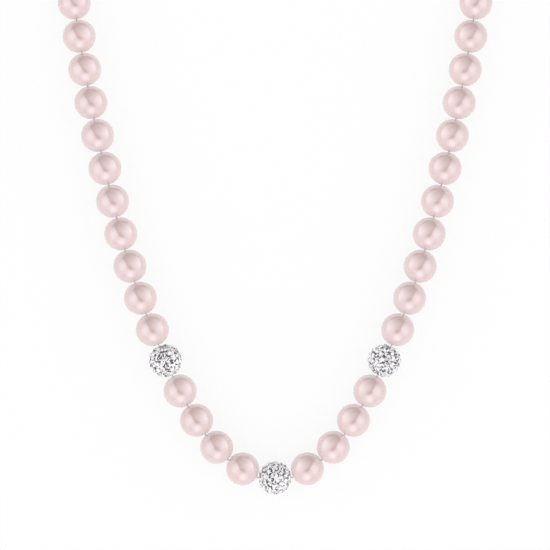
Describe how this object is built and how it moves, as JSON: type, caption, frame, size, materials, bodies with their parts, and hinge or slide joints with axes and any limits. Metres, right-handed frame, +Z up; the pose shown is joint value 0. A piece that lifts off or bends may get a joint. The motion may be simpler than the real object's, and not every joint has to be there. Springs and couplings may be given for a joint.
{
  "type": "pearl necklace",
  "caption": "Closed strand of round pale pink pearls with silver pave crystal balls, threaded on beading wire and fastened by a small lobster clasp.",
  "frame": {"origin": "on the table under the middle of the laid-out loop's box", "axes": "+Z up from the table, +Y from the centre crystal ball towards the clasp, +X to the right as the picture shows it"},
  "size_m": [0.1038, 0.1623, 0.008],
  "materials": {
    "pearl": "pale pink pearl lustre",
    "ball_core": "dark setting clay",
    "crystal": "clear faceted, foil backed",
    "wire": "drawn steel",
    "silver": "bright silver plate"
  },
  "bodies": {
    "centre": {"crystal_core_centre": "ball_core", "crystal_stones_centre": "crystal"},
    "bead_left_01": {"pearl_left_01": "pearl"},
    "bead_left_02": {"pearl_left_02": "pearl"},
    "bead_left_03": {"pearl_left_03": "pearl"},
    "bead_left_04": {"pearl_left_04": "pearl"},
    "bead_left_05": {"crystal_core_left": "ball_core", "crystal_stones_left": "crystal"},
    "bead_left_06": {"pearl_left_05": "pearl"},
    "bead_left_07": {"pearl_left_06": "pearl"},
    "bead_left_08": {"pearl_left_07": "pearl"},
    "bead_left_09": {"pearl_left_08": "pearl"},
    "bead_left_10": {"pearl_left_09": "pearl"},
    "bead_left_11": {"pearl_left_10": "pearl"},
    "bead_left_12": {"pearl_left_11": "pearl"},
    "bead_left_13": {"pearl_left_12": "pearl", "stringing_wire": "wire"},
    "bead_left_14": {"pearl_left_13": "pearl"},
    "bead_left_15": {"pearl_left_14": "pearl"},
    "bead_left_16": {"pearl_left_15": "pearl"},
    "bead_left_17": {"pearl_left_16": "pearl"},
    "bead_left_18": {"pearl_left_17": "pearl"},
    "bead_left_19": {"pearl_left_18": "pearl"},
    "bead_left_20": {"pearl_left_19": "pearl"},
    "bead_left_21": {"pearl_left_20": "pearl"},
    "bead_left_22": {"pearl_left_21": "pearl"},
    "bead_left_23": {"pearl_left_22": "pearl"},
    "end_left": {"crimp_tube_left": "silver"},
    "bead_right_01": {"pearl_right_01": "pearl"},
    "bead_right_02": {"pearl_right_02": "pearl"},
    "bead_right_03": {"pearl_right_03": "pearl"},
    "bead_right_04": {"pearl_right_04": "pearl"},
    "bead_right_05": {"crystal_core_right": "ball_core", "crystal_stones_right": "crystal"},
    "bead_right_06": {"pearl_right_05": "pearl"},
    "bead_right_07": {"pearl_right_06": "pearl"},
    "bead_right_08": {"pearl_right_07": "pearl"},
    "bead_right_09": {"pearl_right_08": "pearl"},
    "bead_right_10": {"pearl_right_09": "pearl"},
    "bead_right_11": {"pearl_right_10": "pearl"},
    "bead_right_12": {"pearl_right_11": "pearl"},
    "bead_right_13": {"pearl_right_12": "pearl"},
    "bead_right_14": {"pearl_right_13": "pearl"},
    "bead_right_15": {"pearl_right_14": "pearl"},
    "bead_right_16": {"pearl_right_15": "pearl"},
    "bead_right_17": {"pearl_right_16": "pearl"},
    "bead_right_18": {"pearl_right_17": "pearl"},
    "bead_right_19": {"pearl_right_18": "pearl"},
    "bead_right_20": {"pearl_right_19": "pearl"},
    "bead_right_21": {"pearl_right_20": "pearl"},
    "bead_right_22": {"pearl_right_21": "pearl"},
    "bead_right_23": {"pearl_right_22": "pearl"},
    "end_right": {"crimp_tube_right": "silver"},
    "clasp": {"jump_ring_left": "silver", "clasp_body": "silver", "clasp_spring": "wire", "clasp_pin": "silver"},
    "catch": {"jump_ring_right": "silver"},
    "trigger": {"clasp_trigger": "silver"}
  },
  "joints": [
    {"name": "fold_left_01", "type": "hinge", "parent": "centre", "child": "bead_left_01", "pos_m": [-0.00415, -0.07719, 0.00398], "axis": [1, 0, 0], "range_deg": [-10, 10], "stiffness_Nm_per_rad": 0.0025},
    {"name": "fold_left_02", "type": "hinge", "parent": "bead_left_01", "child": "bead_left_02", "pos_m": [-0.01118, -0.07297, 0.00398], "axis": [1, 0, 0], "range_deg": [-10, 10], "stiffness_Nm_per_rad": 0.0025},
    {"name": "fold_left_03", "type": "hinge", "parent": "bead_left_02", "child": "bead_left_03", "pos_m": [-0.01652, -0.06693, 0.00398], "axis": [1, 0, 0], "range_deg": [-10, 10], "stiffness_Nm_per_rad": 0.0025},
    {"name": "fold_left_04", "type": "hinge", "parent": "bead_left_03", "child": "bead_left_04", "pos_m": [-0.02077, -0.06013, 0.00398], "axis": [1, 0, 0], "range_deg": [-10, 10], "stiffness_Nm_per_rad": 0.0025},
    {"name": "fold_left_05", "type": "hinge", "parent": "bead_left_04", "child": "bead_left_05", "pos_m": [-0.02434, -0.05297, 0.00398], "axis": [1, 0, 0], "range_deg": [-10, 10], "stiffness_Nm_per_rad": 0.0025},
    {"name": "fold_left_06", "type": "hinge", "parent": "bead_left_05", "child": "bead_left_06", "pos_m": [-0.02766, -0.04569, 0.00398], "axis": [1, 0, 0], "range_deg": [-10, 10], "stiffness_Nm_per_rad": 0.0025},
    {"name": "fold_left_07", "type": "hinge", "parent": "bead_left_06", "child": "bead_left_07", "pos_m": [-0.03066, -0.03827, 0.00398], "axis": [1, 0, 0], "range_deg": [-10, 10], "stiffness_Nm_per_rad": 0.0025},
    {"name": "fold_left_08", "type": "hinge", "parent": "bead_left_07", "child": "bead_left_08", "pos_m": [-0.03333, -0.03073, 0.00398], "axis": [1, 0, 0], "range_deg": [-10, 10], "stiffness_Nm_per_rad": 0.0025},
    {"name": "fold_left_09", "type": "hinge", "parent": "bead_left_08", "child": "bead_left_09", "pos_m": [-0.03567, -0.02307, 0.00398], "axis": [1, 0, 0], "range_deg": [-10, 10], "stiffness_Nm_per_rad": 0.0025},
    {"name": "fold_left_10", "type": "hinge", "parent": "bead_left_09", "child": "bead_left_10", "pos_m": [-0.03767, -0.01533, 0.00398], "axis": [1, 0, 0], "range_deg": [-10, 10], "stiffness_Nm_per_rad": 0.0025},
    {"name": "fold_left_11", "type": "hinge", "parent": "bead_left_10", "child": "bead_left_11", "pos_m": [-0.03954, -0.00755, 0.00398], "axis": [1, 0, 0], "range_deg": [-10, 10], "stiffness_Nm_per_rad": 0.0025},
    {"name": "fold_left_12", "type": "hinge", "parent": "bead_left_11", "child": "bead_left_12", "pos_m": [-0.04134, 0.00025, 0.00398], "axis": [1, 0, 0], "range_deg": [-10, 10], "stiffness_Nm_per_rad": 0.0025},
    {"name": "fold_left_13", "type": "hinge", "parent": "bead_left_12", "child": "bead_left_13", "pos_m": [-0.043, 0.00807, 0.00398], "axis": [1, 0, 0], "range_deg": [-10, 10], "stiffness_Nm_per_rad": 0.0025, "deforming": ["stringing_wire"]},
    {"name": "fold_left_14", "type": "hinge", "parent": "bead_left_13", "child": "bead_left_14", "pos_m": [-0.04453, 0.01593, 0.00398], "axis": [1, 0, 0], "range_deg": [-10, 10], "stiffness_Nm_per_rad": 0.0025},
    {"name": "fold_left_15", "type": "hinge", "parent": "bead_left_14", "child": "bead_left_15", "pos_m": [-0.04592, 0.02381, 0.00398], "axis": [1, 0, 0], "range_deg": [-10, 10], "stiffness_Nm_per_rad": 0.0025},
    {"name": "fold_left_16", "type": "hinge", "parent": "bead_left_15", "child": "bead_left_16", "pos_m": [-0.04717, 0.03171, 0.00398], "axis": [1, 0, 0], "range_deg": [-10, 10], "stiffness_Nm_per_rad": 0.0025},
    {"name": "fold_left_17", "type": "hinge", "parent": "bead_left_16", "child": "bead_left_17", "pos_m": [-0.04828, 0.03965, 0.00398], "axis": [1, 0, 0], "range_deg": [-10, 10], "stiffness_Nm_per_rad": 0.0025},
    {"name": "fold_left_18", "type": "hinge", "parent": "bead_left_17", "child": "bead_left_18", "pos_m": [-0.04765, 0.04768, 0.00398], "axis": [1, 0, 0], "range_deg": [-10, 10], "stiffness_Nm_per_rad": 0.0025},
    {"name": "fold_left_19", "type": "hinge", "parent": "bead_left_18", "child": "bead_left_19", "pos_m": [-0.0453, 0.05537, 0.00398], "axis": [1, 0, 0], "range_deg": [-10, 10], "stiffness_Nm_per_rad": 0.0025},
    {"name": "fold_left_20", "type": "hinge", "parent": "bead_left_19", "child": "bead_left_20", "pos_m": [-0.04134, 0.06238, 0.00398], "axis": [1, 0, 0], "range_deg": [-10, 10], "stiffness_Nm_per_rad": 0.0025},
    {"name": "fold_left_21", "type": "hinge", "parent": "bead_left_20", "child": "bead_left_21", "pos_m": [-0.03595, 0.06836, 0.00398], "axis": [1, 0, 0], "range_deg": [-10, 10], "stiffness_Nm_per_rad": 0.0025},
    {"name": "fold_left_22", "type": "hinge", "parent": "bead_left_21", "child": "bead_left_22", "pos_m": [-0.02945, 0.07308, 0.00398], "axis": [1, 0, 0], "range_deg": [-10, 10], "stiffness_Nm_per_rad": 0.0025},
    {"name": "fold_left_23", "type": "hinge", "parent": "bead_left_22", "child": "bead_left_23", "pos_m": [-0.0221, 0.07636, 0.00398], "axis": [1, 0, 0], "range_deg": [-10, 10], "stiffness_Nm_per_rad": 0.0025},
    {"name": "fold_left_24", "type": "hinge", "parent": "bead_left_23", "child": "end_left", "pos_m": [-0.01423, 0.07803, 0.00398], "axis": [1, 0, 0], "range_deg": [-10, 10]},
    {"name": "fold_right_01", "type": "hinge", "parent": "centre", "child": "bead_right_01", "pos_m": [0.00415, -0.07719, 0.00398], "axis": [1, 0, 0], "range_deg": [-10, 10], "stiffness_Nm_per_rad": 0.0025},
    {"name": "fold_right_02", "type": "hinge", "parent": "bead_right_01", "child": "bead_right_02", "pos_m": [0.01118, -0.07297, 0.00398], "axis": [1, 0, 0], "range_deg": [-10, 10], "stiffness_Nm_per_rad": 0.0025},
    {"name": "fold_right_03", "type": "hinge", "parent": "bead_right_02", "child": "bead_right_03", "pos_m": [0.01652, -0.06693, 0.00398], "axis": [1, 0, 0], "range_deg": [-10, 10], "stiffness_Nm_per_rad": 0.0025},
    {"name": "fold_right_04", "type": "hinge", "parent": "bead_right_03", "child": "bead_right_04", "pos_m": [0.02077, -0.06013, 0.00398], "axis": [1, 0, 0], "range_deg": [-10, 10], "stiffness_Nm_per_rad": 0.0025},
    {"name": "fold_right_05", "type": "hinge", "parent": "bead_right_04", "child": "bead_right_05", "pos_m": [0.02434, -0.05297, 0.00398], "axis": [1, 0, 0], "range_deg": [-10, 10], "stiffness_Nm_per_rad": 0.0025},
    {"name": "fold_right_06", "type": "hinge", "parent": "bead_right_05", "child": "bead_right_06", "pos_m": [0.02766, -0.04569, 0.00398], "axis": [1, 0, 0], "range_deg": [-10, 10], "stiffness_Nm_per_rad": 0.0025},
    {"name": "fold_right_07", "type": "hinge", "parent": "bead_right_06", "child": "bead_right_07", "pos_m": [0.03066, -0.03827, 0.00398], "axis": [1, 0, 0], "range_deg": [-10, 10], "stiffness_Nm_per_rad": 0.0025},
    {"name": "fold_right_08", "type": "hinge", "parent": "bead_right_07", "child": "bead_right_08", "pos_m": [0.03333, -0.03073, 0.00398], "axis": [1, 0, 0], "range_deg": [-10, 10], "stiffness_Nm_per_rad": 0.0025},
    {"name": "fold_right_09", "type": "hinge", "parent": "bead_right_08", "child": "bead_right_09", "pos_m": [0.03567, -0.02307, 0.00398], "axis": [1, 0, 0], "range_deg": [-10, 10], "stiffness_Nm_per_rad": 0.0025},
    {"name": "fold_right_10", "type": "hinge", "parent": "bead_right_09", "child": "bead_right_10", "pos_m": [0.03767, -0.01533, 0.00398], "axis": [1, 0, 0], "range_deg": [-10, 10], "stiffness_Nm_per_rad": 0.0025},
    {"name": "fold_right_11", "type": "hinge", "parent": "bead_right_10", "child": "bead_right_11", "pos_m": [0.03954, -0.00755, 0.00398], "axis": [1, 0, 0], "range_deg": [-10, 10], "stiffness_Nm_per_rad": 0.0025},
    {"name": "fold_right_12", "type": "hinge", "parent": "bead_right_11", "child": "bead_right_12", "pos_m": [0.04134, 0.00025, 0.00398], "axis": [1, 0, 0], "range_deg": [-10, 10], "stiffness_Nm_per_rad": 0.0025},
    {"name": "fold_right_13", "type": "hinge", "parent": "bead_right_12", "child": "bead_right_13", "pos_m": [0.043, 0.00807, 0.00398], "axis": [1, 0, 0], "range_deg": [-10, 10], "stiffness_Nm_per_rad": 0.0025},
    {"name": "fold_right_14", "type": "hinge", "parent": "bead_right_13", "child": "bead_right_14", "pos_m": [0.04453, 0.01593, 0.00398], "axis": [1, 0, 0], "range_deg": [-10, 10], "stiffness_Nm_per_rad": 0.0025},
    {"name": "fold_right_15", "type": "hinge", "parent": "bead_right_14", "child": "bead_right_15", "pos_m": [0.04592, 0.02381, 0.00398], "axis": [1, 0, 0], "range_deg": [-10, 10], "stiffness_Nm_per_rad": 0.0025},
    {"name": "fold_right_16", "type": "hinge", "parent": "bead_right_15", "child": "bead_right_16", "pos_m": [0.04717, 0.03171, 0.00398], "axis": [1, 0, 0], "range_deg": [-10, 10], "stiffness_Nm_per_rad": 0.0025},
    {"name": "fold_right_17", "type": "hinge", "parent": "bead_right_16", "child": "bead_right_17", "pos_m": [0.04828, 0.03965, 0.00398], "axis": [1, 0, 0], "range_deg": [-10, 10], "stiffness_Nm_per_rad": 0.0025},
    {"name": "fold_right_18", "type": "hinge", "parent": "bead_right_17", "child": "bead_right_18", "pos_m": [0.04765, 0.04768, 0.00398], "axis": [1, 0, 0], "range_deg": [-10, 10], "stiffness_Nm_per_rad": 0.0025},
    {"name": "fold_right_19", "type": "hinge", "parent": "bead_right_18", "child": "bead_right_19", "pos_m": [0.0453, 0.05537, 0.00398], "axis": [1, 0, 0], "range_deg": [-10, 10], "stiffness_Nm_per_rad": 0.0025},
    {"name": "fold_right_20", "type": "hinge", "parent": "bead_right_19", "child": "bead_right_20", "pos_m": [0.04134, 0.06238, 0.00398], "axis": [1, 0, 0], "range_deg": [-10, 10], "stiffness_Nm_per_rad": 0.0025},
    {"name": "fold_right_21", "type": "hinge", "parent": "bead_right_20", "child": "bead_right_21", "pos_m": [0.03595, 0.06836, 0.00398], "axis": [1, 0, 0], "range_deg": [-10, 10], "stiffness_Nm_per_rad": 0.0025},
    {"name": "fold_right_22", "type": "hinge", "parent": "bead_right_21", "child": "bead_right_22", "pos_m": [0.02945, 0.07308, 0.00398], "axis": [1, 0, 0], "range_deg": [-10, 10], "stiffness_Nm_per_rad": 0.0025},
    {"name": "fold_right_23", "type": "hinge", "parent": "bead_right_22", "child": "bead_right_23", "pos_m": [0.0221, 0.07636, 0.00398], "axis": [1, 0, 0], "range_deg": [-10, 10], "stiffness_Nm_per_rad": 0.0025},
    {"name": "fold_right_24", "type": "hinge", "parent": "bead_right_23", "child": "end_right", "pos_m": [0.01423, 0.07803, 0.00398], "axis": [1, 0, 0], "range_deg": [-10, 10]},
    {"name": "clasp_roll", "type": "hinge", "parent": "end_left", "child": "clasp", "pos_m": [-0.00767, 0.07825, 0.00398], "axis": [1, 0, 0], "range_deg": [-20, 20]},
    {"name": "catch_roll", "type": "hinge", "parent": "end_right", "child": "catch", "pos_m": [0.00767, 0.07825, 0.00398], "axis": [1, 0, 0], "range_deg": [-20, 20]},
    {"name": "clasp_trigger", "type": "hinge", "parent": "clasp", "child": "trigger", "pos_m": [-0.00001, 0.07649, 0.002], "axis": [0, 0, 1], "range_deg": [0, 16], "stiffness_Nm_per_rad": 0.003, "springref_deg": -22.92}
  ],
  "couplings": [
    {"joint": "fold_right_01", "follows": "fold_left_01", "ratio": 1},
    {"joint": "fold_right_02", "follows": "fold_left_02", "ratio": 1},
    {"joint": "fold_right_03", "follows": "fold_left_03", "ratio": 1},
    {"joint": "fold_right_04", "follows": "fold_left_04", "ratio": 1},
    {"joint": "fold_right_05", "follows": "fold_left_05", "ratio": 1},
    {"joint": "fold_right_06", "follows": "fold_left_06", "ratio": 1},
    {"joint": "fold_right_07", "follows": "fold_left_07", "ratio": 1},
    {"joint": "fold_right_08", "follows": "fold_left_08", "ratio": 1},
    {"joint": "fold_right_09", "follows": "fold_left_09", "ratio": 1},
    {"joint": "fold_right_10", "follows": "fold_left_10", "ratio": 1},
    {"joint": "fold_right_11", "follows": "fold_left_11", "ratio": 1},
    {"joint": "fold_right_12", "follows": "fold_left_12", "ratio": 1},
    {"joint": "fold_right_13", "follows": "fold_left_13", "ratio": 1},
    {"joint": "fold_right_14", "follows": "fold_left_14", "ratio": 1},
    {"joint": "fold_right_15", "follows": "fold_left_15", "ratio": 1},
    {"joint": "fold_right_16", "follows": "fold_left_16", "ratio": 1},
    {"joint": "fold_right_17", "follows": "fold_left_17", "ratio": 1},
    {"joint": "fold_right_18", "follows": "fold_left_18", "ratio": 1},
    {"joint": "fold_right_19", "follows": "fold_left_19", "ratio": 1},
    {"joint": "fold_right_20", "follows": "fold_left_20", "ratio": 1},
    {"joint": "fold_right_21", "follows": "fold_left_21", "ratio": 1},
    {"joint": "fold_right_22", "follows": "fold_left_22", "ratio": 1},
    {"joint": "fold_right_23", "follows": "fold_left_23", "ratio": 1},
    {"joint": "fold_right_24", "follows": "fold_left_24", "ratio": 1},
    {"joint": "catch_roll", "follows": "clasp_roll", "ratio": 1}
  ]
}
